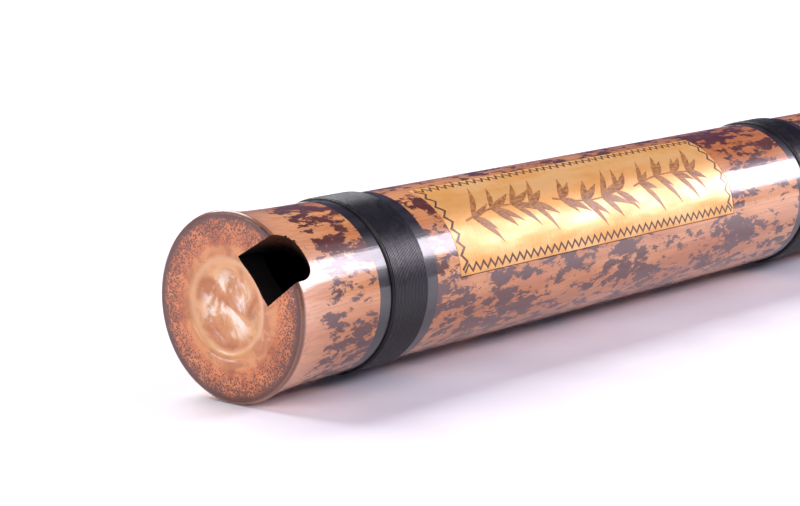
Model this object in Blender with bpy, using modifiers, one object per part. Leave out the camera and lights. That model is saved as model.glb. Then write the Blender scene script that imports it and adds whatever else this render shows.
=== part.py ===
"""Xiao: an end-blown bamboo flute whose top is closed by a natural node, at its real size.

The flute is modelled in its own frame: +X runs down the tube from the blowing end, +Z is the front,
where the blowing notch and the finger holes are, and +Y is the player's other side. An empty then lays
it on a table, turned so that the front looks up and to -Y, with the table at Z = 0 and the origin under
the middle of the tube.
"""

from math import cos, exp, pi, radians, sin, tan

import bmesh
import bpy
from mathutils import Matrix, Vector

MM = 0.001

# How the flute lies: the front's turn from straight up, towards -Y, with a facet of the culm on the table
LYING_TURN = radians(48.75)

# Culm: one length of bamboo, cut through a node at the blowing end
CULM_LENGTH = 745 * MM
RIM_RADIUS = 13.5 * MM
RIM_ROUNDING = 0.35 * MM
FLARE_DECAY = 4.5 * MM
FLARE_PLACES = [1.2 * MM, 2.6 * MM, 4.4 * MM, 7 * MM, 11 * MM]
HEAD_RADIUS = 12.45 * MM
FOOT_RADIUS = 11.6 * MM
TAPER_START = 150 * MM
FOOT_ROUNDING = 0.6 * MM

# Bore, closed at the top by the node's own diaphragm
BORE_HEAD_RADIUS = 7.5 * MM
BORE_FOOT_RADIUS = 6.9 * MM
DIAPHRAGM_THICKNESS = 3.2 * MM
DIAPHRAGM_DOME = 1.8 * MM
DOME_STEPS = 4

# Dished face of the diaphragm, off the tube's centre as the bamboo grew
DISH_RADIUS = 7 * MM
DISH_DEPTH = 0.55 * MM
DISH_SLOPE = 0.9 * MM
DISH_OFFSET_Y = 0.5 * MM
DISH_OFFSET_Z = -0.6 * MM

# Natural nodes along the culm: the leaf sheath's scar, then the rounded ridge beyond it
NODE_PLACES = [226 * MM, 530 * MM]
SCAR_HEIGHT = 0.4 * MM
SCAR_WIDTH = 0.8 * MM
RIDGE_HEIGHT = 0.8 * MM
RIDGE_WIDTH = 2.6 * MM
RIDGE_DISTANCE = 4.6 * MM

# Blowing notch: a U cut into the rim, whose bottom slopes in towards the bore
NOTCH_HALF_WIDTH = 3.75 * MM
NOTCH_DEPTH = 4.1 * MM
NOTCH_LIP_HEIGHT = 12.9 * MM
NOTCH_FLOOR_HEIGHT = 6.15 * MM
NOTCH_OFFSET = -0.6 * MM
NOTCH_LEAN = 0.13
NOTCH_WIDENING = 0.06
NOTCH_SQUARENESS = 2.6
NOTCH_STEPS = 14
LABIUM_ANGLE = radians(47)

# Finger holes: seven in front and one behind for the thumb, oval along the tube where they are eased
FRONT_HOLES = [275 * MM, 300 * MM, 342 * MM, 387 * MM, 419 * MM, 446 * MM, 477 * MM]
THUMB_HOLE = 246 * MM
FINGER_HOLE_RADIUS = 4.5 * MM
HOLE_EASING = 0.7
EASING_START = 1.6 * MM

# Sound holes on both flanks, and the pair of small holes behind them that hold a tassel's cord
SOUND_HOLE_PLACE = 562 * MM
SOUND_HOLE_RADIUS = 4.8 * MM
SOUND_HOLE_ANGLE = radians(75)
CORD_HOLE_PLACE = 604 * MM
CORD_HOLE_RADIUS = 2.4 * MM
CORD_HOLE_ANGLE = radians(152)

# Thread windings, each in a shallow groove round the culm; the last one keeps its distance from the foot
FOOT_WINDING_DISTANCE = 20 * MM
WINDING_CENTRES = [
    23.5 * MM, 137.3 * MM, 200 * MM, 260.5 * MM, 321 * MM,
    364.5 * MM, 432.5 * MM, 503 * MM, 640 * MM, CULM_LENGTH - FOOT_WINDING_DISTANCE,
]
WINDING_WIDTH = 7.75 * MM
WINDING_THICKNESS = 0.6 * MM
WINDING_PROUD = 0.4 * MM
WINDING_SHOULDER = 0.25 * MM

# Gilt panel, let into the skin of the bamboo behind the notch
PANEL_START = 35.3 * MM
PANEL_LENGTH = 74 * MM
PANEL_HALF_ANGLE = radians(38.2)
PANEL_THICKNESS = 0.25 * MM
PANEL_PROUD = 0.05 * MM
PANEL_STEPS = 18

# Air between two pieces that touch on the real flute
FIT_GAP = 0.3 * MM

# How far a cutter runs past the wall that it cuts
OVERCUT = 2 * MM

CULM_SIDES = 48
WINDING_SIDES = 40
HOLE_SIDES = 20
MERGE_DISTANCE = 0.00001


def clear_scene():
    for obj in list(bpy.data.objects):
        bpy.data.objects.remove(obj, do_unlink=True)


def new_collection(name):
    collection = bpy.data.collections.new(name)
    bpy.context.scene.collection.children.link(collection)
    return collection


def finish(name, colour, roughness, metallic=0.0):
    """A plain material with the piece's own colour."""
    material = bpy.data.materials.new(name)
    material.use_nodes = True
    shader = material.node_tree.nodes["Principled BSDF"]
    shader.inputs["Base Color"].default_value = (*colour, 1.0)
    shader.inputs["Roughness"].default_value = roughness
    shader.inputs["Metallic"].default_value = metallic
    return material


def bamboo_finish():
    return finish("mottled_bamboo", (0.55, 0.30, 0.13), 0.15)


def thread_finish():
    return finish("black_nylon_thread", (0.01, 0.01, 0.014), 0.4)


def gilt_finish():
    return finish("gilt_foil", (0.90, 0.58, 0.16), 0.25, 1.0)


def add_object(name, mesh, collection, parent, place=(0, 0, 0)):
    obj = bpy.data.objects.new(name, mesh)
    collection.objects.link(obj)
    obj.parent = parent
    obj.location = place
    return obj


def as_cutter(obj):
    obj.hide_render = True
    obj.display_type = "WIRE"
    return obj


def profile_mesh(name, points, closed=False):
    """A line of (along, radius) points in the plane Y = 0, for turning round X."""
    mesh = bpy.data.meshes.new(name)
    edges = [(i, i + 1) for i in range(len(points) - 1)]
    if closed:
        edges.append((len(points) - 1, 0))
    mesh.from_pydata([(x, 0.0, r) for x, r in points], edges, [])
    return mesh


def turn(obj, sides):
    """Spins round X an object's profile, whose outer line runs towards +X."""
    screw = obj.modifiers.new("turned", "SCREW")
    screw.axis = "X"
    screw.angle = 2 * pi
    screw.steps = sides
    screw.render_steps = sides
    screw.use_merge_vertices = True
    screw.merge_threshold = MERGE_DISTANCE
    screw.use_normal_flip = True
    screw.use_smooth_shade = True


def cut(obj, cutter):
    boolean = obj.modifiers.new("cut by " + cutter.name, "BOOLEAN")
    boolean.operation = "DIFFERENCE"
    boolean.solver = "EXACT"
    boolean.object = cutter


def body_radius(x):
    """Radius of the culm without its ridges: flared at the rim, level near the top, then a slow taper."""
    taper = max(0.0, (x - TAPER_START) / (CULM_LENGTH - TAPER_START))
    body = HEAD_RADIUS + (FOOT_RADIUS - HEAD_RADIUS) * taper
    return body + (RIM_RADIUS - HEAD_RADIUS) * exp(-max(0.0, x - RIM_ROUNDING) / FLARE_DECAY)


def node_swelling(distance):
    """Height of the scar and of the ridge at a distance past the node."""
    scar = SCAR_HEIGHT * exp(-((distance / SCAR_WIDTH) ** 2))
    ridge = RIDGE_HEIGHT * exp(-(((distance - RIDGE_DISTANCE) / RIDGE_WIDTH) ** 2))
    return scar + ridge


def node_points(place):
    """Outline over one natural node, closest together where it curves most."""
    scar_steps = [-1.6, -0.8, 0.0, 0.8]
    ridge_steps = [-0.7, -0.3, 0.0, 0.4, 0.8, 1.3, 2.0]
    distances = [step * SCAR_WIDTH for step in scar_steps]
    distances += [RIDGE_DISTANCE + step * RIDGE_WIDTH for step in ridge_steps]
    return [(place + d, body_radius(place + d) + node_swelling(d)) for d in sorted(distances)]


def groove_half_width():
    return WINDING_WIDTH / 2 + FIT_GAP


def groove_radius(centre):
    return winding_inner_radius(centre) - FIT_GAP


def winding_inner_radius(centre):
    return body_radius(centre) + WINDING_PROUD - WINDING_THICKNESS


def groove_points(centre):
    start, end = centre - groove_half_width(), centre + groove_half_width()
    floor = groove_radius(centre)
    return [(start, body_radius(start)), (start, floor), (end, floor), (end, body_radius(end))]


def outer_outline():
    """The culm's outside from the rim to the foot: flare, winding grooves, node ridges and rounded ends."""
    stretches = [[(0.3 * RIM_ROUNDING, RIM_RADIUS - 0.3 * RIM_ROUNDING)], [(RIM_ROUNDING, RIM_RADIUS)]]
    stretches += [[(x, body_radius(x))] for x in FLARE_PLACES]
    stretches += [groove_points(centre) for centre in WINDING_CENTRES]
    stretches += [node_points(place) for place in NODE_PLACES]
    stretches += [[(TAPER_START, body_radius(TAPER_START))]]
    stretches += [[(CULM_LENGTH - FOOT_ROUNDING, body_radius(CULM_LENGTH))]]
    stretches.sort(key=lambda stretch: stretch[0][0])
    return [point for stretch in stretches for point in stretch]


def bore_outline():
    """The bore from the foot up to the diaphragm, whose underside is domed."""
    dome_start = DIAPHRAGM_THICKNESS + DIAPHRAGM_DOME
    points = [(CULM_LENGTH, BORE_FOOT_RADIUS)]
    for i in range(DOME_STEPS + 1):
        angle = pi / 2 * i / DOME_STEPS
        points.append((dome_start - DIAPHRAGM_DOME * sin(angle), BORE_HEAD_RADIUS * cos(angle)))
    points[-1] = (DIAPHRAGM_THICKNESS, 0.0)
    return points


def culm_outline():
    face = [(0.0, 0.0), (0.0, RIM_RADIUS - RIM_ROUNDING)]
    foot = [(CULM_LENGTH, body_radius(CULM_LENGTH) - FOOT_ROUNDING)]
    return face + outer_outline() + foot + bore_outline()


def notch_outline(height):
    """The U at one height over the tube's axis: open at the blowing end, deeper and wider nearer the bore."""
    inward = NOTCH_LIP_HEIGHT - height
    half_width = NOTCH_HALF_WIDTH + inward * NOTCH_WIDENING
    centre = NOTCH_OFFSET + inward * NOTCH_LEAN
    depth = NOTCH_DEPTH + inward * tan(LABIUM_ANGLE)
    power = 2 / NOTCH_SQUARENESS
    points = [(-OVERCUT, centre + half_width)]
    for i in range(NOTCH_STEPS + 1):
        angle = pi * i / NOTCH_STEPS
        across = abs(cos(angle)) ** power * (1 if cos(angle) > 0 else -1)
        points.append((depth * sin(angle) ** power if i % NOTCH_STEPS else 0.0, centre + half_width * across))
    points.append((-OVERCUT, centre - half_width))
    return [Vector((x, y, height)) for x, y in points]


def notch_cutter(collection, parent):
    """A loft from the U over the rim down to the U at the notch's floor."""
    low, high = notch_outline(NOTCH_FLOOR_HEIGHT), notch_outline(RIM_RADIUS + OVERCUT / 2)
    bm = bmesh.new()
    below = [bm.verts.new(point) for point in low]
    above = [bm.verts.new(point) for point in high]
    bm.faces.new(below)
    bm.faces.new(above)
    for i in range(len(low)):
        j = (i + 1) % len(low)
        bm.faces.new((below[i], below[j], above[j], above[i]))
    bmesh.ops.recalc_face_normals(bm, faces=bm.faces)
    mesh = bpy.data.meshes.new("notch_cutter")
    bm.to_mesh(mesh)
    bm.free()
    return as_cutter(add_object("notch_cutter", mesh, collection, parent))


def dish_cutter(collection, parent):
    """A turned disc with a sloping edge, which hollows the diaphragm's face."""
    points = [
        (-OVERCUT, 0.0),
        (-OVERCUT, DISH_RADIUS + DISH_SLOPE / 2),
        (0.0, DISH_RADIUS + DISH_SLOPE / 2),
        (DISH_DEPTH, DISH_RADIUS - DISH_SLOPE / 2),
        (DISH_DEPTH, 0.0),
    ]
    mesh = profile_mesh("dish_cutter", points)
    place = (0.0, DISH_OFFSET_Y, DISH_OFFSET_Z)
    cutter = as_cutter(add_object("dish_cutter", mesh, collection, parent, place))
    turn(cutter, CULM_SIDES)
    return cutter


def hole_cutter(name, x, angle, radius, easing, collection, parent):
    """A round cutter standing at an angle from the front, wider by the easing towards the skin."""
    skin = body_radius(x)
    start = skin - EASING_START
    reach = skin + OVERCUT
    points = [
        (BORE_FOOT_RADIUS / 2, 0.0),
        (BORE_FOOT_RADIUS / 2, radius),
        (start, radius),
        (reach, radius + easing * (reach - start)),
        (reach, 0.0),
    ]
    cutter = as_cutter(add_object(name, profile_mesh(name, points), collection, parent))
    cutter.matrix_local = (
        Matrix.Translation((x, 0, 0)) @ Matrix.Rotation(angle, 4, "X") @ Matrix.Rotation(-pi / 2, 4, "Y")
    )
    turn(cutter, HOLE_SIDES)
    return cutter


def hole_cutters(collection, parent):
    cutters = []
    for number, x in enumerate(FRONT_HOLES, start=1):
        name = f"finger_hole_{number}_cutter"
        cutters.append(hole_cutter(name, x, 0.0, FINGER_HOLE_RADIUS, HOLE_EASING, collection, parent))
    cutters.append(
        hole_cutter("thumb_hole_cutter", THUMB_HOLE, pi, FINGER_HOLE_RADIUS, HOLE_EASING, collection, parent)
    )
    for side, sign in (("left", 1), ("right", -1)):
        cutters.append(
            hole_cutter(
                f"{side}_sound_hole_cutter", SOUND_HOLE_PLACE, sign * SOUND_HOLE_ANGLE,
                SOUND_HOLE_RADIUS, 0.0, collection, parent,
            )
        )
        cutters.append(
            hole_cutter(
                f"{side}_cord_hole_cutter", CORD_HOLE_PLACE, sign * CORD_HOLE_ANGLE,
                CORD_HOLE_RADIUS, 0.0, collection, parent,
            )
        )
    return cutters


def curved_sheet(name, start, length, radius, half_angle):
    """A rectangle bent round the tube's front, centred on +Z."""
    points, faces = [], []
    for i in range(PANEL_STEPS + 1):
        angle = half_angle * (2 * i / PANEL_STEPS - 1)
        y, z = radius * sin(angle), radius * cos(angle)
        points += [(start, y, z), (start + length, y, z)]
    for i in range(PANEL_STEPS):
        faces.append((2 * i, 2 * i + 1, 2 * i + 3, 2 * i + 2))
    mesh = bpy.data.meshes.new(name)
    mesh.from_pydata(points, [], faces)
    return mesh


def thicken_outwards(obj, thickness):
    solidify = obj.modifiers.new("thickness", "SOLIDIFY")
    solidify.thickness = thickness
    solidify.offset = 1.0
    solidify.use_even_offset = True


def panel_inner_radius():
    return HEAD_RADIUS + PANEL_PROUD - PANEL_THICKNESS


def recess_cutter(collection, parent):
    """The seat for the gilt panel: its shape with the fit gap all round."""
    floor = panel_inner_radius() - FIT_GAP
    half_angle = PANEL_HALF_ANGLE + FIT_GAP / HEAD_RADIUS
    mesh = curved_sheet(
        "recess_cutter", PANEL_START - FIT_GAP, PANEL_LENGTH + 2 * FIT_GAP, floor, half_angle
    )
    cutter = as_cutter(add_object("recess_cutter", mesh, collection, parent))
    thicken_outwards(cutter, HEAD_RADIUS - floor + OVERCUT)
    return cutter


def make_culm(collection, cutters, parent):
    culm = add_object("bamboo_culm", profile_mesh("bamboo_culm", culm_outline()), collection, parent)
    culm.data.materials.append(bamboo_finish())
    turn(culm, CULM_SIDES)
    cut(culm, dish_cutter(cutters, parent))
    cut(culm, notch_cutter(cutters, parent))
    cut(culm, recess_cutter(cutters, parent))
    for cutter in hole_cutters(cutters, parent):
        cut(culm, cutter)
    return culm


def make_panel(collection, parent):
    mesh = curved_sheet("gilt_panel", PANEL_START, PANEL_LENGTH, panel_inner_radius(), PANEL_HALF_ANGLE)
    panel = add_object("gilt_panel", mesh, collection, parent)
    panel.data.materials.append(gilt_finish())
    thicken_outwards(panel, PANEL_THICKNESS)
    return panel


def winding_outline(centre):
    """Section of one winding: flat where it lies on the bamboo, with rounded shoulders outside."""
    half = WINDING_WIDTH / 2
    inner = winding_inner_radius(centre)
    outer = inner + WINDING_THICKNESS
    return [
        (-half, inner),
        (-half, outer - WINDING_SHOULDER),
        (-half + WINDING_SHOULDER, outer),
        (half - WINDING_SHOULDER, outer),
        (half, outer - WINDING_SHOULDER),
        (half, inner),
    ]


def make_windings(collection, parent):
    thread = thread_finish()
    for number, centre in enumerate(WINDING_CENTRES, start=1):
        name = f"thread_winding_{number:02d}"
        mesh = profile_mesh(name, winding_outline(centre), closed=True)
        winding = add_object(name, mesh, collection, parent, (centre, 0, 0))
        winding.data.materials.append(thread)
        turn(winding, WINDING_SIDES)


def lay_down(flute):
    flute.rotation_euler = (LYING_TURN, 0, 0)
    flute.location = (-CULM_LENGTH / 2, 0, RIM_RADIUS * cos(pi / CULM_SIDES))


def main():
    clear_scene()
    parts, cutters = new_collection("xiao"), new_collection("cutters")
    flute = bpy.data.objects.new("flute", None)
    parts.objects.link(flute)
    lay_down(flute)
    make_culm(parts, cutters, flute)
    make_panel(parts, flute)
    make_windings(parts, flute)


main()
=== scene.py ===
from math import cos, pi, radians, sin, tan

import bmesh
import bpy
import numpy as np
from mathutils import Matrix, Vector


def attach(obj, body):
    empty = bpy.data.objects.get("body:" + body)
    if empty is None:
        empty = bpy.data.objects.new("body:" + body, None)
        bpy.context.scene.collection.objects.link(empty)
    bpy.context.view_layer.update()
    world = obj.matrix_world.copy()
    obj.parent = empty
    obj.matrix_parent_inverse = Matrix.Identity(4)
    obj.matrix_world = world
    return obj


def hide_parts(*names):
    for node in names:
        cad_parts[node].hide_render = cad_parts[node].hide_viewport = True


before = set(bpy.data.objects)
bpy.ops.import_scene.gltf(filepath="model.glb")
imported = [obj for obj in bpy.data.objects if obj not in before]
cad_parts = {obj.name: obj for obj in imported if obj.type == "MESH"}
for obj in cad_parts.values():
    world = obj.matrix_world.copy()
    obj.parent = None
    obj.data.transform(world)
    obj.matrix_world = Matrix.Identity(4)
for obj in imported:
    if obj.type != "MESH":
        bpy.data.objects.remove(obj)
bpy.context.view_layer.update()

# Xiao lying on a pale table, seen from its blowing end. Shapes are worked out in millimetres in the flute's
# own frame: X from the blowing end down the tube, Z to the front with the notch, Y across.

MM = 0.001
LENGTH = 745.0
LYING_TURN = radians(48.75)
AXIS_HEIGHT = 13.471

# Culm
RIM_RADIUS = 13.46
RIM_ROUNDING = 0.5
FACE_STEPS = (0.0, 4.0, 8.8, 12.2)
HEAD_RADIUS = 12.45
FOOT_RADIUS = 11.6
FLARE_DECAY = 4.5
TAPER_START = 150.0
FOOT_ROUNDING = 0.6
BORE_HEAD, BORE_FOOT = 7.5, 6.9
BORE_EDGE = 0.3
DIAPHRAGM_THICKNESS, DOME_START, DOME_RISE = 3.2, 5.0, 1.8
DISH_Y, DISH_Z = 0.5, -0.6
DISH_RADIUS = 7.3
DISH_SHOULDER_DEPTH, DISH_SHOULDER_START, DISH_SHOULDER_WIDTH = 0.5, 5.6, 1.6
DISH_FLOOR = ((0.56, 4.0), (0.6, 2.0), (0.62, 0.0))
NODE_PLACES = (226.0, 530.0)
SCAR_HEIGHT, SCAR_WIDTH = 0.4, 0.8
RIDGE_HEIGHT, RIDGE_PLACE, RIDGE_WIDTH = 0.8, 4.6, 2.6
NODE_STEPS = (
    -2.0, -1.4, -1.0, -0.7, -0.4, -0.15, 0.15, 0.4, 0.8, 1.3, 1.9,
    2.5, 3.1, 3.7, 4.2, 4.7, 5.2, 5.8, 6.6, 7.6, 9.0, 11.0,
)
FLARE_STEPS = (0.9, 1.4, 2.0, 2.7, 3.5, 4.5, 5.7, 7.2, 9.0, 11.5, 15.0)
BODY_STEPS = (60.0, 100.0, 170.0, 400.0, 580.0, 680.0)
CULM_SIDES = 160

# Notch: heights over the axis, then the U at the lip and how it changes inward
NOTCH_LIP, NOTCH_FLOOR = 12.9, 6.15
NOTCH_HALF_WIDTH, NOTCH_WIDENING = 3.75, 0.06
NOTCH_OFFSET, NOTCH_LEAN = -0.6, 0.13
NOTCH_DEPTH, LABIUM_ANGLE = 4.1, radians(47)
NOTCH_SQUARENESS, NOTCH_STEPS = 2.6, 28

# Windings and the black painted bands under them
WINDINGS = (23.5, 137.3, 200.0, 260.5, 321.0, 364.5, 432.5, 503.0, 640.0, 725.0)
WINDING_WIDTH = 7.75
WINDING_PROUD = 0.4
WINDING_THICKNESS = 0.6
GROOVE_PLAY = 0.05
PAINT_HALF_WIDTH = 6.4
THREAD_PITCH = 0.31
THREAD_BULGE = 0.10
THREAD_UNEVENNESS = 0.015
END_TURN_DROP = 0.10
SHOULDER_DROP = 0.32

# Gilt panel
PANEL_START, PANEL_LENGTH = 35.3, 74.0
PANEL_HALF_ANGLE = radians(38.2)
PANEL_RADIUS, PANEL_UNDERSIDE = 12.5, 12.2
PANEL_CROWN, CROWN_WIDTH = 0.08, 0.25
SEAT_RADIUS, SEAT_GAP, SEAT_ANGLE_GAP = 12.1, 0.12, 0.01
SIDE_ZIGZAG_PITCH, END_ZIGZAG_PITCH = 1.76, 2.08
ZIGZAG_HEIGHT, ZIGZAG_INSET = 2.2, 0.5
SPRIG_LENGTH, SPRIG_HALF_HEIGHT = 17.0, 5.9
STROKE_RISE, STROKE_SINK = 0.035, -0.05

# Holes: place, angle from the front, radius, easing
HOLES = [(x, 0.0, 4.5, 0.7) for x in (275.0, 300.0, 342.0, 387.0, 419.0, 446.0, 477.0)]
HOLES += [(246.0, pi, 4.5, 0.7)]
HOLES += [(562.0, s * radians(75), 4.8, 0.1) for s in (1, -1)]
HOLES += [(604.0, s * radians(152), 2.4, 0.1) for s in (1, -1)]
HOLE_BAR_START, HOLE_BAR_RISE = 3.4, 1.5
EASING_START, EASING_END = 1.6, 0.8
EASING_NEAR, EASING_FAR = 0.25, 2.3

# Outside every part of the flute, where the cutters for the notch and the panel's seat end
CUTTER_RADIUS = 14.5

# How near a face's centre lies to a surface to count as part of it
ON_END_FACE = 0.02
DISH_ZONE_DEPTH, DISH_ZONE_RADIUS = 0.8, 7.35
NOTCH_ZONE_START, NOTCH_ZONE_END = 0.03, 12
NOTCH_ZONE_FLOOR, NOTCH_ZONE_HALF_WIDTH, NOTCH_ZONE_SKIN = 6.1, 5, 0.15
HOLE_ZONE_SKIN = 0.75
BORE_ZONE_START, BORE_ZONE_RADIUS = 0.9, 7.7


def row_frame(points):
    """Points in mm in the flute's frame, as metres in the row frame: turned about X and set on the table."""
    p = np.asarray(points, float).reshape(-1, 3)
    c, s = cos(LYING_TURN), sin(LYING_TURN)
    x = p[:, 0] - LENGTH / 2
    y = p[:, 1] * c - p[:, 2] * s
    z = p[:, 1] * s + p[:, 2] * c + AXIS_HEIGHT
    return np.stack([x, y, z], 1) * MM


def flute_frame(coordinates):
    """A flat list of coordinates in metres in the row frame, as points in mm in the flute's frame."""
    p = coordinates.reshape(-1, 3) / MM
    y, z = p[:, 1], p[:, 2] - AXIS_HEIGHT
    c, s = cos(LYING_TURN), sin(LYING_TURN)
    return np.stack([p[:, 0] + LENGTH / 2, y * c + z * s, -y * s + z * c], 1)


def make_object(name, points, faces, smooth_angle=35):
    """A closed mesh from points in mm, with its faces turned outward."""
    mesh = bpy.data.meshes.new(name)
    mesh.from_pydata(row_frame(points).tolist(), [], faces)
    bm = bmesh.new()
    bm.from_mesh(mesh)
    bmesh.ops.remove_doubles(bm, verts=bm.verts, dist=1e-7)
    bmesh.ops.recalc_face_normals(bm, faces=bm.faces)
    bm.to_mesh(mesh)
    bm.free()
    mesh.shade_smooth()
    mesh.set_sharp_from_angle(angle=radians(smooth_angle))
    obj = bpy.data.objects.new(name, mesh)
    bpy.context.scene.collection.objects.link(obj)
    return obj


def revolve(profile, sides, closed=False):
    """Turns a profile round X: (along, radius) gives (along, radius sin a, radius cos a) at each angle a."""
    line = np.asarray(profile, float)
    a = 2 * pi * np.arange(sides) / sides
    x = np.repeat(line[:, 0:1], sides, 1)
    y = line[:, 1:2] * np.sin(a)
    z = line[:, 1:2] * np.cos(a)
    points = np.stack([x, y, z], 2).reshape(-1, 3)
    side = np.arange(sides)
    next_side = (side + 1) % sides
    faces = []
    for k in range(len(line) if closed else len(line) - 1):
        n = (k + 1) % len(line)
        here, there = k * sides, n * sides
        corners = [here + side, here + next_side, there + next_side, there + side]
        if line[k, 1] == 0:
            corners = [np.full(sides, here), there + next_side, there + side]
        elif line[n, 1] == 0:
            corners = [here + side, here + next_side, np.full(sides, there)]
        faces += np.stack(corners, 1).tolist()
    return points, faces


def body_radius(x):
    """Level near the top, then an even taper, plus a flare that dies away exponentially from the rim."""
    taper = np.maximum(0.0, (x - TAPER_START) / (LENGTH - TAPER_START))
    body = HEAD_RADIUS + (FOOT_RADIUS - HEAD_RADIUS) * taper
    return body + (RIM_RADIUS - HEAD_RADIUS) * np.exp(-np.maximum(0.0, x - RIM_ROUNDING) / FLARE_DECAY)


def node_swelling(d):
    """Height at a distance d past a node: two bell curves, the leaf sheath's scar and the rounded ridge."""
    scar = SCAR_HEIGHT * np.exp(-((d / SCAR_WIDTH) ** 2))
    return scar + RIDGE_HEIGHT * np.exp(-(((d - RIDGE_PLACE) / RIDGE_WIDTH) ** 2))


def quarter_turn(steps):
    return pi / 2 * np.arange(steps + 1) / steps


def culm_profile():
    """Closed outline: sawn face, rounded rim and flare, grooves, node ridges, foot, bore and diaphragm.

    Rim, foot and dome are quarter circles or ellipses. Between them the radius is body_radius, with a square
    groove at each winding and node_swelling added past each node.
    """
    t = quarter_turn(6)
    face = np.stack([np.zeros(len(FACE_STEPS)), FACE_STEPS], 1)
    rim = np.stack([RIM_ROUNDING * (1 - np.cos(t)), RIM_RADIUS - RIM_ROUNDING * (1 - np.sin(t))], 1)
    plain = np.array(FLARE_STEPS + BODY_STEPS)
    stretches = list(np.stack([plain, body_radius(plain)], 1)[:, None])
    for centre in WINDINGS:
        half = WINDING_WIDTH / 2 + GROOVE_PLAY
        floor = body_radius(centre) + WINDING_PROUD - (WINDING_THICKNESS + GROOVE_PLAY)
        a, b = centre - half, centre + half
        stretches.append(np.array([(a, body_radius(a)), (a, floor), (b, floor), (b, body_radius(b))]))
    for place in NODE_PLACES:
        d = np.array(NODE_STEPS)
        stretches.append(np.stack([place + d, body_radius(place + d) + node_swelling(d)], 1))
    stretches.sort(key=lambda stretch: stretch[0, 0])
    t = quarter_turn(4)
    foot_radius = body_radius(LENGTH)
    foot_x = LENGTH - FOOT_ROUNDING * (1 - np.sin(t))
    foot = np.stack([foot_x, foot_radius - FOOT_ROUNDING * (1 - np.cos(t))], 1)
    bore = np.array([(LENGTH, BORE_FOOT + BORE_EDGE), (LENGTH - BORE_EDGE, BORE_FOOT)])
    t = quarter_turn(8)
    dome = np.stack([DOME_START - DOME_RISE * np.sin(t), BORE_HEAD * np.cos(t)], 1)
    dome[-1] = (DIAPHRAGM_THICKNESS, 0.0)
    return np.vstack([face, rim, *stretches, foot, bore, dome])


def notch_outline(height):
    """The U at a height: half a superellipse, deeper, wider and further over by the height below the lip."""
    inward = NOTCH_LIP - height
    half = NOTCH_HALF_WIDTH + NOTCH_WIDENING * inward
    centre = NOTCH_OFFSET + NOTCH_LEAN * inward
    depth = NOTCH_DEPTH + inward * tan(LABIUM_ANGLE)
    power = 2 / NOTCH_SQUARENESS
    t = pi * np.arange(1, NOTCH_STEPS) / NOTCH_STEPS
    across = np.sign(np.cos(t)) * np.abs(np.cos(t)) ** power
    x = np.concatenate([[-2.0, -0.5], depth * np.sin(t) ** power, [-0.5, -2.0]])
    y = np.concatenate([[centre + half] * 2, centre + half * across, [centre - half] * 2])
    return np.stack([x, y, np.full(len(x), height)], 1)


def notch_cutter():
    """Straight walls from the U at the notch's floor to the U outside the rim."""
    low, high = notch_outline(NOTCH_FLOOR), notch_outline(CUTTER_RADIUS)
    n = len(low)
    faces = [list(range(n)), list(range(n, 2 * n))]
    faces += [[i, (i + 1) % n, n + (i + 1) % n, n + i] for i in range(n)]
    return make_object("cut", np.vstack([low, high]), faces)


def disc_cutter():
    """The dish in the diaphragm's face: a shallow bowl with a shoulder of (1 - outward squared) to 0.8."""
    lid = [(-1.0, 0.0), (-1.0, DISH_RADIUS), (0.0, DISH_RADIUS)]
    radius = np.array((7.05, 6.8, 6.5, 6.1, 5.7))
    outward = (radius - DISH_SHOULDER_START) / DISH_SHOULDER_WIDTH
    shoulder = np.stack([DISH_SHOULDER_DEPTH * (1 - outward ** 2) ** 0.8, radius], 1)
    points, faces = revolve(np.vstack([lid, shoulder, DISH_FLOOR]), 96)
    return make_object("cut", points + np.array([0.0, DISH_Y, DISH_Z]), faces)


def hole_cutter(x, angle, radius, easing):
    """A round bar standing out from the axis at an angle from the front, wider where the hole is eased."""
    skin = body_radius(x)
    top = skin + HOLE_BAR_RISE
    eased = radius + EASING_NEAR * easing
    prof = [(HOLE_BAR_START, 0.0), (HOLE_BAR_START, radius), (skin - EASING_START, radius)]
    prof += [(skin - EASING_END, eased), (top, eased + EASING_FAR * easing), (top, 0.0)]
    p, faces = revolve(prof, 48)
    p = np.stack([p[:, 1], p[:, 2], p[:, 0]], 1)
    c, s = cos(angle), sin(angle)
    p = np.stack([p[:, 0] + x, p[:, 1] * c - p[:, 2] * s, p[:, 1] * s + p[:, 2] * c], 1)
    return make_object("cut", p, faces)


def panel_seat_cutter():
    """The recess that the gilt panel lies in."""
    start, length = PANEL_START - SEAT_GAP, PANEL_LENGTH + 2 * SEAT_GAP
    half_angle = PANEL_HALF_ANGLE + SEAT_ANGLE_GAP
    return make_object("cut", *plate(start, length, half_angle, SEAT_RADIUS, CUTTER_RADIUS, 2, 48))


def plate(start, length, half_angle, inner, outer, n_along, n_round, crown=0.0):
    """A plate bent round the front: (along, angle) grids at outer and inner radius, joined at the rim.

    Near its edges the outer grid sinks by the crown times the square of how near they are.
    """
    u = np.linspace(0, 1, n_along)[:, None]
    v = np.linspace(-1, 1, n_round)
    edge = np.minimum(np.minimum(u * length, (1 - u) * length), (1 - np.abs(v)) * half_angle * outer)
    drop = crown * np.maximum(0.0, 1 - edge / CROWN_WIDTH) ** 2
    x = np.broadcast_to(start + u * length, drop.shape)
    a = v * half_angle
    radii = (outer - drop, np.full(drop.shape, inner))
    points = np.stack([np.stack([x, r * np.sin(a), r * np.cos(a)], -1) for r in radii]).reshape(-1, 3)

    n = n_along * n_round
    grid = np.arange(n).reshape(n_along, n_round)
    quads = np.stack([grid[:-1, :-1], grid[:-1, 1:], grid[1:, 1:], grid[1:, :-1]], -1).reshape(-1, 4)
    faces = [quads, quads + n]
    for rim in (grid[:, [0, -1]], grid[[0, -1]].T):
        faces.append(np.stack([rim[:-1], rim[1:], rim[1:] + n, rim[:-1] + n], -1).reshape(-1, 4))
    return points, np.vstack(faces).tolist()


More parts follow.
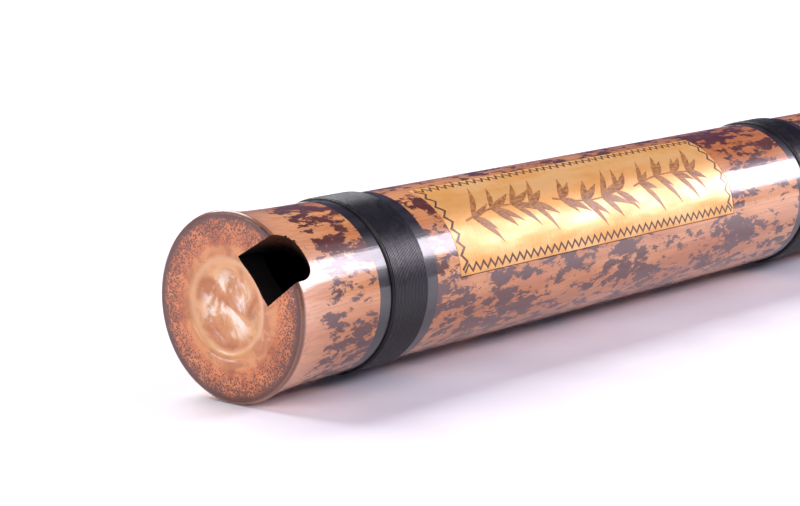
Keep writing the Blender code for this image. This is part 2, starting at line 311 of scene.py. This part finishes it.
def cut_all(obj, cutters):
    """Cuts each cutter out of obj in turn and keeps the finished mesh alone."""
    for cutter in cutters:
        mod = obj.modifiers.new("cut", "BOOLEAN")
        mod.operation = "DIFFERENCE"
        mod.solver = "EXACT"
        mod.object = cutter
        done = bpy.data.meshes.new_from_object(obj.evaluated_get(bpy.context.evaluated_depsgraph_get()))
        obj.modifiers.clear()
        obj.data = done
        bpy.data.objects.remove(cutter, do_unlink=True)
    bm = bmesh.new()
    bm.from_mesh(obj.data)
    bmesh.ops.remove_doubles(bm, verts=bm.verts, dist=1e-6)
    bmesh.ops.dissolve_degenerate(bm, edges=bm.edges, dist=1e-6)
    bmesh.ops.triangulate(bm, faces=[f for f in bm.faces if len(f.verts) > 4])
    bm.to_mesh(obj.data)
    bm.free()
    obj.data.name = obj.name
    obj.data.shade_smooth()
    obj.data.set_sharp_from_angle(angle=radians(30))


# Materials


def linear(hex_colour):
    """An sRGB colour such as 8a5a33 as linear red, green, blue, alpha."""
    out = []
    for i in (0, 2, 4):
        v = int(hex_colour[i:i + 2], 16) / 255
        out.append(v / 12.92 if v <= 0.04045 else ((v + 0.055) / 1.055) ** 2.4)
    return (*out, 1.0)


def new_material(name):
    material = bpy.data.materials.new(name)
    material.use_nodes = True
    return material, material.node_tree, material.node_tree.nodes["Principled BSDF"]


def node(tree, kind, inputs=None, **settings):
    """Adds one node; inputs maps a socket to a constant or to the socket that feeds it."""
    made = tree.nodes.new("ShaderNode" + kind)
    for key, value in settings.items():
        setattr(made, key, value)
    for key, value in (inputs or {}).items():
        if isinstance(value, bpy.types.NodeSocket):
            tree.links.new(value, made.inputs[key])
        else:
            made.inputs[key].default_value = value
    return made


def maths(tree, operation, a, b=0.0, c=0.0):
    return node(tree, "Math", {0: a, 1: b, 2: c}, operation=operation).outputs[0]


def flute_coordinates(tree):
    """Millimetres in the flute's frame, from Object coordinates, and the separate X, Y and Z."""
    place = node(tree, "TexCoord").outputs["Object"]
    turned = node(
        tree, "Mapping",
        {
            "Vector": place,
            "Location": (-LENGTH / 2 * MM, 0, AXIS_HEIGHT * MM),
            "Rotation": (LYING_TURN, 0, 0),
            "Scale": (MM, MM, MM),
        },
        vector_type="TEXTURE",
    ).outputs[0]
    return turned, node(tree, "SeparateXYZ", {0: turned}).outputs


def noise(tree, vector, stretch, detail=4.0, roughness=0.55, distortion=0.0):
    """Soft noise with its scale along, across and to the front of the flute in features per millimetre."""
    stretched = node(tree, "Mapping", {"Vector": vector, "Scale": stretch}).outputs[0]
    look = {"Scale": 1.0, "Detail": detail, "Roughness": roughness, "Distortion": distortion}
    return node(tree, "TexNoise", {"Vector": stretched, **look}).outputs["Fac"]


def ramp(tree, value, low, high, to_low=0.0, to_high=1.0):
    """Smooth change of a value between two limits."""
    limits = {0: value, 1: low, 2: high, 3: to_low, 4: to_high}
    return node(tree, "MapRange", limits, interpolation_type="SMOOTHSTEP").outputs[0]


def mix(tree, factor, a, b):
    """Mixes two colours, each a hex string or a socket."""
    made = node(tree, "Mix", {0: factor}, data_type="RGBA")
    for index, colour in ((6, a), (7, b)):
        if isinstance(colour, str):
            made.inputs[index].default_value = linear(colour)
        else:
            tree.links.new(colour, made.inputs[index])
    return made.outputs[2]


def bump(tree, height, strength, distance):
    return node(tree, "Bump", {"Height": height, "Strength": strength, "Distance": distance}).outputs[0]


def feed(tree, shader, **inputs):
    """Sets the shader's own sockets; an underscore in a name stands for a space."""
    for key, value in inputs.items():
        socket = shader.inputs[key.replace("_", " ")]
        if isinstance(value, bpy.types.NodeSocket):
            tree.links.new(value, socket)
        else:
            socket.default_value = value


def length_of(tree, a, b):
    squares = [maths(tree, "MULTIPLY", side, side) for side in (a, b)]
    return maths(tree, "SQRT", maths(tree, "ADD", *squares))


def lacquered_mottled_bamboo():
    """Tan bamboo under clear lacquer: ragged purple-brown blotches drawn out along it, black bands."""
    material, tree, shader = new_material("lacquered_mottled_bamboo")
    vector, (x, y, z) = flute_coordinates(tree)
    broad = noise(tree, vector, (0.028, 0.11, 0.11), detail=3)
    tan_skin = mix(tree, ramp(tree, broad, 0.38, 0.62), "e29c5c", "c67634")
    tan_skin = mix(tree, ramp(tree, x, 2.0, 16.0, 0.55, 0.0), tan_skin, "dba27a")
    fibres = noise(tree, vector, (0.05, 2.6, 2.6), detail=5, roughness=0.65)
    tan_skin = mix(tree, ramp(tree, fibres, 0.35, 0.7, 0.0, 0.35), tan_skin, "8a5230")
    ragged = noise(tree, vector, (0.33, 0.72, 0.72), detail=8, roughness=0.66, distortion=0.3)
    cluster = noise(tree, vector, (0.06, 0.17, 0.17), detail=2)
    ragged = maths(tree, "MULTIPLY_ADD", cluster, 0.55, maths(tree, "SUBTRACT", ragged, 0.275))
    near_rim = ramp(tree, x, 2.0, 9.0, 0.22, 0.0)
    blotch = ramp(tree, maths(tree, "SUBTRACT", ragged, near_rim), 0.475, 0.54)
    purple = mix(tree, noise(tree, vector, (0.3, 0.9, 0.9), detail=6), "34140a", "6a2e1a")
    colour = mix(tree, blotch, tan_skin, purple)
    specks = ramp(tree, noise(tree, vector, (0.9, 2.2, 2.2), detail=3), 0.66, 0.72, 0.0, 0.6)
    colour = mix(tree, specks, colour, "4a2a1c")
    lip = maths(tree, "MULTIPLY", ramp(tree, x, 0.35, 1.1, 1.0, 0.0), 0.8)
    colour = mix(tree, lip, colour, "5a2c1e")
    edge = maths(tree, "MULTIPLY_ADD", noise(tree, vector, (0.6, 0.8, 0.8), detail=3), 0.3, -0.15)
    place = maths(tree, "ADD", x, edge)
    paint = maths(tree, "COMPARE", place, WINDINGS[0], PAINT_HALF_WIDTH)
    for centre in WINDINGS[1:]:
        paint = maths(tree, "MAXIMUM", paint, maths(tree, "COMPARE", place, centre, PAINT_HALF_WIDTH))
    colour = mix(tree, paint, colour, "0b0a0d")
    smudge = noise(tree, vector, (0.1, 0.5, 0.5), detail=5)
    relief = maths(tree, "MULTIPLY_ADD", fibres, 0.5, maths(tree, "MULTIPLY", broad, 1.2))
    feed(
        tree, shader,
        Base_Color=colour,
        Roughness=ramp(tree, smudge, 0.3, 0.7, 0.32, 0.48),
        Coat_Weight=1.0,
        Coat_Roughness=ramp(tree, smudge, 0.35, 0.75, 0.03, 0.09),
        Coat_IOR=1.46,
        Normal=bump(tree, relief, 0.3, 0.0001),
        Coat_Normal=bump(tree, relief, 0.3, 0.00008),
    )
    return material


def sawn_bamboo_end_grain():
    """The lacquered sawn node: domed diaphragm, pale ring, tan ring, dark fibre dots, red-brown skin."""
    material, tree, shader = new_material("sawn_bamboo_end_grain")
    vector, (_, y, z) = flute_coordinates(tree)
    wobble = maths(tree, "MULTIPLY_ADD", noise(tree, vector, (0.3, 0.35, 0.35), detail=2), 0.8, -0.4)
    radius = maths(tree, "ADD", length_of(tree, y, z), wobble)
    inner = length_of(tree, maths(tree, "SUBTRACT", y, DISH_Y), maths(tree, "SUBTRACT", z, DISH_Z))
    inner = maths(tree, "ADD", inner, maths(tree, "MULTIPLY", wobble, 0.4))
    cloud = noise(tree, vector, (0.4, 0.34, 0.34), detail=6, roughness=0.62, distortion=0.8)
    soft = noise(tree, vector, (0.2, 0.22, 0.22), detail=4, roughness=0.5, distortion=0.5)
    membrane = mix(tree, ramp(tree, soft, 0.38, 0.62), "b8692f", "dda066")
    membrane = mix(tree, ramp(tree, cloud, 0.50, 0.72, 0.0, 0.6), membrane, "7a3c18")
    # Painted highlight: near-white patches on the diaphragm near its centre stand in for the lamps'
    # reflection in the lacquer.
    painted_highlight = noise(tree, vector, (0.3, 0.19, 0.30), detail=5, roughness=0.6, distortion=0.7)
    painted_highlight = maths(tree, "MULTIPLY", ramp(tree, painted_highlight, 0.47, 0.60), ramp(tree, inner, 3.0, 5.8, 0.8, 0.0))
    membrane = mix(tree, painted_highlight, membrane, "fbf0e2")
    fibre_ends = node(tree, "Mapping", {"Vector": vector, "Scale": (0.2, 3.3, 3.3)}).outputs[0]
    dots = node(
        tree, "TexVoronoi", {"Vector": fibre_ends, "Scale": 1.0, "Randomness": 0.85}
    ).outputs["Distance"]
    wall = mix(tree, ramp(tree, cloud, 0.35, 0.65), "d67c40", "a85426")
    dense = ramp(tree, radius, 8.2, 12.4, 0.34, 0.60)
    spot = ramp(tree, maths(tree, "SUBTRACT", dense, dots), -0.03, 0.05)
    fibre = mix(tree, maths(tree, "MULTIPLY", spot, ramp(tree, radius, 7.9, 9.6, 0.1, 0.8)), wall, "451a0e")
    tan_ring = mix(tree, ramp(tree, cloud, 0.4, 0.6), "d28a52", "b46a36")
    colour = mix(tree, ramp(tree, radius, 8.5, 9.0), tan_ring, fibre)
    colour = mix(tree, ramp(tree, radius, 11.8, 12.8), colour, "521f12")
    colour = mix(tree, ramp(tree, inner, 6.6, 7.5, 0.75, 0.0), colour, "e0ac7c")
    colour = mix(tree, ramp(tree, inner, 5.6, 6.6, 1.0, 0.0), colour, membrane)
    relief = maths(tree, "ADD", maths(tree, "MULTIPLY", spot, -0.5), cloud)
    waves = maths(tree, "MULTIPLY", soft, ramp(tree, inner, 5.5, 7.0, 5.0, 0.0))
    relief = maths(tree, "ADD", relief, waves)
    feed(
        tree, shader,
        Base_Color=colour,
        Roughness=ramp(tree, cloud, 0.3, 0.7, 0.30, 0.45),
        Coat_Weight=1.0,
        Coat_Roughness=0.14,
        Coat_IOR=1.42,
        Normal=bump(tree, relief, 0.4, 0.0001),
        Coat_Normal=bump(tree, relief, 0.35, 0.00012),
    )
    return material


def bare_cut_bamboo():
    """Knife-cut walls of the notch, holes and bore: brown, fibrous and nearly matt, with painted shade deeper
    in.
    """
    material, tree, shader = new_material("bare_cut_bamboo")
    vector, (_, y, z) = flute_coordinates(tree)
    fibres = noise(tree, vector, (0.12, 2.4, 2.4), detail=5, roughness=0.6)
    colour = mix(tree, ramp(tree, fibres, 0.35, 0.65), "5c3018", "341a0e")
    depth = length_of(tree, y, z)
    # Painted shade: the walls go near black towards the axis, deeper inside the notch, holes and bore.
    colour = mix(tree, ramp(tree, depth, 8.5, 12.2, 1.0, 0.0), colour, "060302")
    feed(
        tree, shader,
        Base_Color=colour,
        Roughness=ramp(tree, fibres, 0.3, 0.7, 0.45, 0.65),
        Normal=bump(tree, fibres, 0.5, 0.00012),
    )
    return material


def bright_gilt_foil():
    """Yellow gilt with a fine cross grain, duller in places, and a brown zigzag border pressed into it."""
    material, tree, shader = new_material("bright_gilt_foil")
    u, v, _ = node(tree, "SeparateXYZ", {0: node(tree, "UVMap", uv_map="panel_mm").outputs[0]}).outputs
    vector, _ = flute_coordinates(tree)
    half = PANEL_HALF_ANGLE * PANEL_RADIUS
    from_side = maths(tree, "SUBTRACT", half, maths(tree, "ABSOLUTE", v))
    from_end = maths(tree, "MINIMUM", u, maths(tree, "SUBTRACT", PANEL_LENGTH, u))
    far_off = 9.0

    def border(from_edge, along, pitch, from_next_edge):
        """How far off the zigzag along one edge is, and far off where the next edge is nearer."""
        saw = maths(tree, "FRACT", maths(tree, "DIVIDE", along, pitch))
        fold = maths(tree, "ABSOLUTE", maths(tree, "SUBTRACT", saw, 0.5))
        wave = maths(tree, "MULTIPLY_ADD", fold, ZIGZAG_HEIGHT, ZIGZAG_INSET)
        off = maths(tree, "ABSOLUTE", maths(tree, "SUBTRACT", from_edge, wave))
        off = maths(tree, "ADD", off, ramp(tree, from_next_edge, 0.3, 0.5, far_off, 0.0))
        nearer = maths(tree, "SUBTRACT", from_next_edge, from_edge)
        return maths(tree, "ADD", off, ramp(tree, nearer, -0.1, 0.1, far_off, 0.0))

    side = border(from_side, u, SIDE_ZIGZAG_PITCH, from_end)
    end = border(from_end, maths(tree, "ADD", v, 50.0), END_ZIGZAG_PITCH, from_side)
    line = ramp(tree, maths(tree, "MINIMUM", side, end), 0.22, 0.34, 1.0, 0.0)
    cloud = noise(tree, vector, (0.09, 0.3, 0.3), detail=5)
    grain = noise(tree, vector, (3.2, 0.25, 0.25), detail=4, roughness=0.6)
    gold = mix(tree, ramp(tree, cloud, 0.35, 0.65), "f6c27a", "e2a452")
    gold = mix(tree, ramp(tree, grain, 0.55, 0.75, 0.0, 0.35), gold, "b87c30")
    colour = mix(tree, line, gold, "5c3714")
    relief = maths(tree, "SUBTRACT", maths(tree, "MULTIPLY", grain, 0.4), line)
    feed(
        tree, shader,
        Base_Color=colour,
        Metallic=ramp(tree, line, 0.0, 1.0, 0.35, 0.05),
        Roughness=ramp(tree, cloud, 0.3, 0.7, 0.38, 0.52),
        Coat_Weight=0.25,
        Coat_Roughness=0.2,
        Normal=bump(tree, relief, 0.9, 0.00018),
    )
    return material


def scorched_brown_stroke():
    """Brown strokes cut through the gilt, uneven like brushwork."""
    material, tree, shader = new_material("scorched_brown_stroke")
    vector, _ = flute_coordinates(tree)
    patch = noise(tree, vector, (1.2, 2.5, 2.5), detail=5)
    feed(
        tree, shader,
        Base_Color=mix(tree, ramp(tree, patch, 0.35, 0.65), "8e5822", "b87e3a"),
        Roughness=ramp(tree, patch, 0.3, 0.7, 0.35, 0.6),
        Normal=bump(tree, patch, 0.4, 0.00008),
    )
    return material


def satin_black_thread():
    """Black nylon thread: soft sheen along each turn, fine twist across it."""
    material, tree, shader = new_material("satin_black_thread")
    vector, _ = flute_coordinates(tree)
    twist = noise(tree, vector, (6.0, 3.0, 3.0), detail=4)
    dust = noise(tree, vector, (1.0, 0.7, 0.7), detail=6, roughness=0.7)
    feed(
        tree, shader,
        Base_Color=mix(tree, ramp(tree, dust, 0.55, 0.75, 0.0, 0.5), "101014", "2a2a32"),
        Roughness=ramp(tree, dust, 0.3, 0.7, 0.26, 0.42),
        Specular_IOR_Level=0.4,
        Normal=bump(tree, twist, 0.35, 0.00005),
    )
    return material


def pale_table():
    """Off-white, faintly lavender matt board."""
    material, tree, shader = new_material("pale_table")
    place = node(tree, "TexCoord").outputs["Object"]
    fine = node(tree, "TexNoise", {"Vector": place, "Scale": 60.0, "Detail": 4.0}).outputs["Fac"]
    feed(
        tree, shader,
        Base_Color=mix(tree, ramp(tree, fine, 0.3, 0.7), "ecebf1", "f0eff4"),
        Roughness=ramp(tree, fine, 0.3, 0.7, 0.55, 0.7),
        Normal=bump(tree, fine, 0.05, 0.0002),
    )
    return material


# Pieces


def make_culm():
    """One length of bamboo: revolved outline, then the dish, notch, panel seat and holes cut in turn."""
    culm = make_object("bamboo_culm_finish", *revolve(culm_profile(), CULM_SIDES))
    cutters = [disc_cutter(), notch_cutter(), panel_seat_cutter()]
    cutters += [hole_cutter(*hole) for hole in HOLES]
    cut_all(culm, cutters)
    for material in (lacquered_mottled_bamboo(), sawn_bamboo_end_grain(), bare_cut_bamboo()):
        culm.data.materials.append(material)
    centres = np.empty(len(culm.data.polygons) * 3)
    culm.data.polygons.foreach_get("center", centres)
    x, y, z = flute_frame(centres).T
    r = np.hypot(y, z)
    skin = body_radius(x)
    short_of_foot = x < LENGTH - ON_END_FACE
    in_dish = np.hypot(y - DISH_Y, z - DISH_Z) < DISH_ZONE_RADIUS
    end_grain = (x < ON_END_FACE) & (r < RIM_RADIUS)
    end_grain |= ((x < DISH_ZONE_DEPTH) & in_dish) | (x > LENGTH - ON_END_FACE)
    notch = (x > NOTCH_ZONE_START) & (x < NOTCH_ZONE_END) & (z > NOTCH_ZONE_FLOOR)
    notch &= (r < skin - NOTCH_ZONE_SKIN) & (np.abs(y) < NOTCH_ZONE_HALF_WIDTH)
    holes = (x > NOTCH_ZONE_END) & (r < skin - HOLE_ZONE_SKIN) & short_of_foot
    bore = (x > BORE_ZONE_START) & (r < BORE_ZONE_RADIUS)
    slot = np.where(end_grain, 1, 0)
    slot[notch | holes | bore] = 2
    culm.data.polygons.foreach_set("material_index", slot.astype(np.int32))
    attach(culm, "root")
    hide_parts("bamboo_culm")


def winding_profile(centre, rng):
    """Section of a winding: flat inside, and outside half an ellipse for each turn of thread in a row."""
    half = WINDING_WIDTH / 2
    outer = body_radius(centre) + WINDING_PROUD
    turns = round(WINDING_WIDTH / THREAD_PITCH)
    pitch = WINDING_WIDTH / turns
    left, right = centre - half, centre + half
    inner, shoulder = outer - WINDING_THICKNESS, outer - SHOULDER_DROP
    across = np.array((0.08, 0.3, 0.5, 0.7, 0.92))
    bulge = THREAD_BULGE * np.sqrt(1 - (2 * across - 1) ** 2)
    strands = []
    for k in range(turns):
        lift = rng.uniform(-THREAD_UNEVENNESS, 0.0)
        drop = END_TURN_DROP if k in (0, turns - 1) else 0.0
        strands.append(np.stack([left + pitch * (k + across), outer - THREAD_BULGE + lift - drop + bulge], 1))
    return np.vstack([[(left, inner), (left, shoulder)], *strands, [(right, shoulder), (right, inner)]])


def make_windings():
    thread = satin_black_thread()
    rng = np.random.default_rng(11)
    for number, centre in enumerate(WINDINGS, start=1):
        points, faces = revolve(winding_profile(centre, rng), 112, closed=True)
        winding = make_object(f"thread_winding_{number:02d}_turns", points, faces, 70)
        winding.data.materials.append(thread)
        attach(winding, "root")
        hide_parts(f"thread_winding_{number:02d}")


def make_panel():
    """The gilt plate, with a map of its own millimetres along and across for the border."""
    points, faces = plate(
        PANEL_START, PANEL_LENGTH, PANEL_HALF_ANGLE, PANEL_UNDERSIDE, PANEL_RADIUS, 75, 49, PANEL_CROWN
    )
    panel = make_object("gilt_panel_foil", points, faces, 50)
    mesh = panel.data
    layer = mesh.uv_layers.new(name="panel_mm")
    coordinates = np.empty(len(mesh.vertices) * 3)
    mesh.vertices.foreach_get("co", coordinates)
    x, y, z = flute_frame(coordinates).T
    uv = np.stack([x - PANEL_START, np.arctan2(y, z) * PANEL_RADIUS], 1)
    corner = np.empty(len(mesh.loops), np.int32)
    mesh.loops.foreach_get("vertex_index", corner)
    layer.data.foreach_set("uv", uv[corner].astype(np.float32).ravel())
    mesh.materials.append(bright_gilt_foil())
    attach(panel, "root")
    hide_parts("gilt_panel")


def stroke(line, widths):
    """A closed strip along (along, arc) points on the panel, half its width to each side, square to the line.

    An arc is an angle round the tube times the panel's radius. The strip stands from just under the gilt to
    just over it.
    """
    step = np.gradient(line, axis=0)
    side = np.stack([-step[:, 1], step[:, 0]], 1) / np.linalg.norm(step, axis=1)[:, None]
    sign = np.array([1, -1, -1, 1])[:, None]
    flat = line[:, None] + (side * widths[:, None] / 2)[:, None] * sign
    a = flat[..., 1] / PANEL_RADIUS
    radius = PANEL_RADIUS + np.array([STROKE_RISE, STROKE_RISE, STROKE_SINK, STROKE_SINK])
    points = np.stack([PANEL_START + flat[..., 0], radius * np.sin(a), radius * np.cos(a)], -1)

    corner = np.arange(4)
    following = (corner + 1) % 4
    first = 4 * np.arange(len(line) - 1)[:, None]
    walls = np.stack([first + corner, first + following, first + 4 + following, first + 4 + corner], -1)
    caps = np.array([corner, 4 * (len(line) - 1) + corner[::-1]])
    return points.reshape(-1, 3), np.vstack([walls.reshape(-1, 4), caps])


def make_sprigs():
    """Plain bamboo sprigs: three stems, each half a sine wave, with leaves in fours.

    A leaf turns evenly from its stem, and its width follows a sine along it.
    """
    rng = np.random.default_rng(5)
    strokes = []
    for start, bend in ((4.5, 0.9), (26.5, -1.1), (48.0, 0.8)):
        t = np.linspace(0, 1, 14)
        stem = np.stack([start + SPRIG_LENGTH * t, bend * np.sin(pi * t) + 0.8 * bend * (t - 0.5)], 1)
        strokes.append(stroke(stem, 0.34 - 0.12 * t))
        for at in (0.1, 0.4, 0.7, 0.95):
            root = np.array([start + SPRIG_LENGTH * at, bend * sin(pi * at) + 0.8 * bend * (at - 0.5)])
            for spread in (-0.62, -0.22, 0.25, 0.66):
                length = rng.uniform(4.2, 7.4)
                angle = spread + rng.uniform(-0.12, 0.12)
                s = np.linspace(0, 1, 12)
                curl = angle + 0.2 * s * np.sign(spread)
                leaf = root + np.stack([s * length * np.cos(curl), s * length * np.sin(curl)], 1)
                leaf[:, 1] = np.clip(leaf[:, 1], -SPRIG_HALF_HEIGHT, SPRIG_HALF_HEIGHT)
                strokes.append(stroke(leaf, 0.06 + rng.uniform(0.85, 1.3) * np.sin(pi * s ** 0.8) ** 1.2))
    starts = np.cumsum([0] + [len(points) for points, _ in strokes[:-1]])
    points = np.vstack([points for points, _ in strokes])
    faces = np.vstack([faces + first for (_, faces), first in zip(strokes, starts)]).tolist()
    sprigs = make_object("gilt_panel_sprigs", points, faces, 60)
    sprigs.data.materials.append(scorched_brown_stroke())
    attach(sprigs, "root")


def make_table():
    mesh = bpy.data.meshes.new("table")
    mesh.from_pydata([(-6, -4, 0), (8, -4, 0), (8, 10, 0), (-6, 10, 0)], [], [(0, 1, 2, 3)])
    table = bpy.data.objects.new("table", mesh)
    bpy.context.scene.collection.objects.link(table)
    mesh.materials.append(pale_table())


# Light and camera


def area_light(name, place, width, height, power, columns=None, aim=(0, 0, 0), colour=(1, 1, 1)):
    """A rectangular soft light, turned by its own axes or aimed at a point."""
    light = bpy.data.lights.new(name, "AREA")
    light.shape = "RECTANGLE"
    light.size, light.size_y = width, height
    light.energy, light.color = power, colour
    obj = bpy.data.objects.new(name, light)
    bpy.context.scene.collection.objects.link(obj)
    if columns:
        a, b = (Vector(c).normalized() for c in columns)
        turn = Matrix((a, b, a.cross(b))).transposed()
    else:
        turn = (Vector(place) - Vector(aim)).to_track_quat("Z", "Y").to_matrix()
    obj.matrix_world = Matrix.Translation(place) @ turn.to_4x4()


def make_lights():
    """A long softbox on the right, the main light high behind, and fills for the top and the sawn face."""
    area_light(
        "side_softbox", (0.95, -0.64, 0.53), 1.5, 0.46, 25,
        columns=((0.78, 0.477, -0.404), (0, 0.62, 0.78)), colour=(0.95, 0.87, 1.0),
    )
    area_light("back_softbox", (-0.15, 0.95, 1.05), 1.3, 0.9, 26, aim=(-0.2, 0, 0))
    area_light("top_fill", (-0.35, -0.35, 1.1), 0.8, 0.8, 1.5, aim=(-0.3, 0, 0), colour=(0.97, 0.93, 1.0))
    area_light("face_light", (-1.25, 0.78, 0.17), 0.32, 0.2, 1.5, aim=(-0.3725, 0, 0.0135))
    area_light(
        "front_fill", (-1.3, -0.15, 0.45), 0.5, 0.5, 5.2, aim=(-0.37, 0, 0.01), colour=(1.0, 0.93, 0.88)
    )


def make_world():
    """A dim violet room. The white behind the tube, as the camera sees it, is the table."""
    world = bpy.data.worlds.new("studio")
    bpy.context.scene.world = world
    world.use_nodes = True
    background = world.node_tree.nodes["Background"]
    background.inputs[0].default_value = linear("b9a6ee")
    background.inputs[1].default_value = 0.16


def make_camera():
    """The photo's camera, worked out from the ellipses of the rim and of the painted bands."""
    camera = bpy.data.cameras.new("camera")
    camera.lens = 103.5
    camera.sensor_width = 36.0
    camera.clip_start = 0.01
    obj = bpy.data.objects.new("camera", camera)
    bpy.context.scene.collection.objects.link(obj)
    yaw, pitch = radians(39.83), radians(10.33)
    ahead = Vector((cos(pitch) * cos(yaw), cos(pitch) * sin(yaw), -sin(pitch)))
    right = Vector((sin(yaw), -cos(yaw), 0))
    turn = Matrix((right, right.cross(ahead), -ahead)).transposed()
    place = (-0.2209 - LENGTH / 2 * MM, -0.2145, 0.0636 + AXIS_HEIGHT * MM)
    obj.matrix_world = Matrix.Translation(place) @ turn.to_4x4()
    bpy.context.scene.camera = obj


make_culm()
make_windings()
make_panel()
make_sprigs()
make_table()
make_lights()
make_world()
make_camera()
bpy.context.scene.view_settings.view_transform = "Standard"
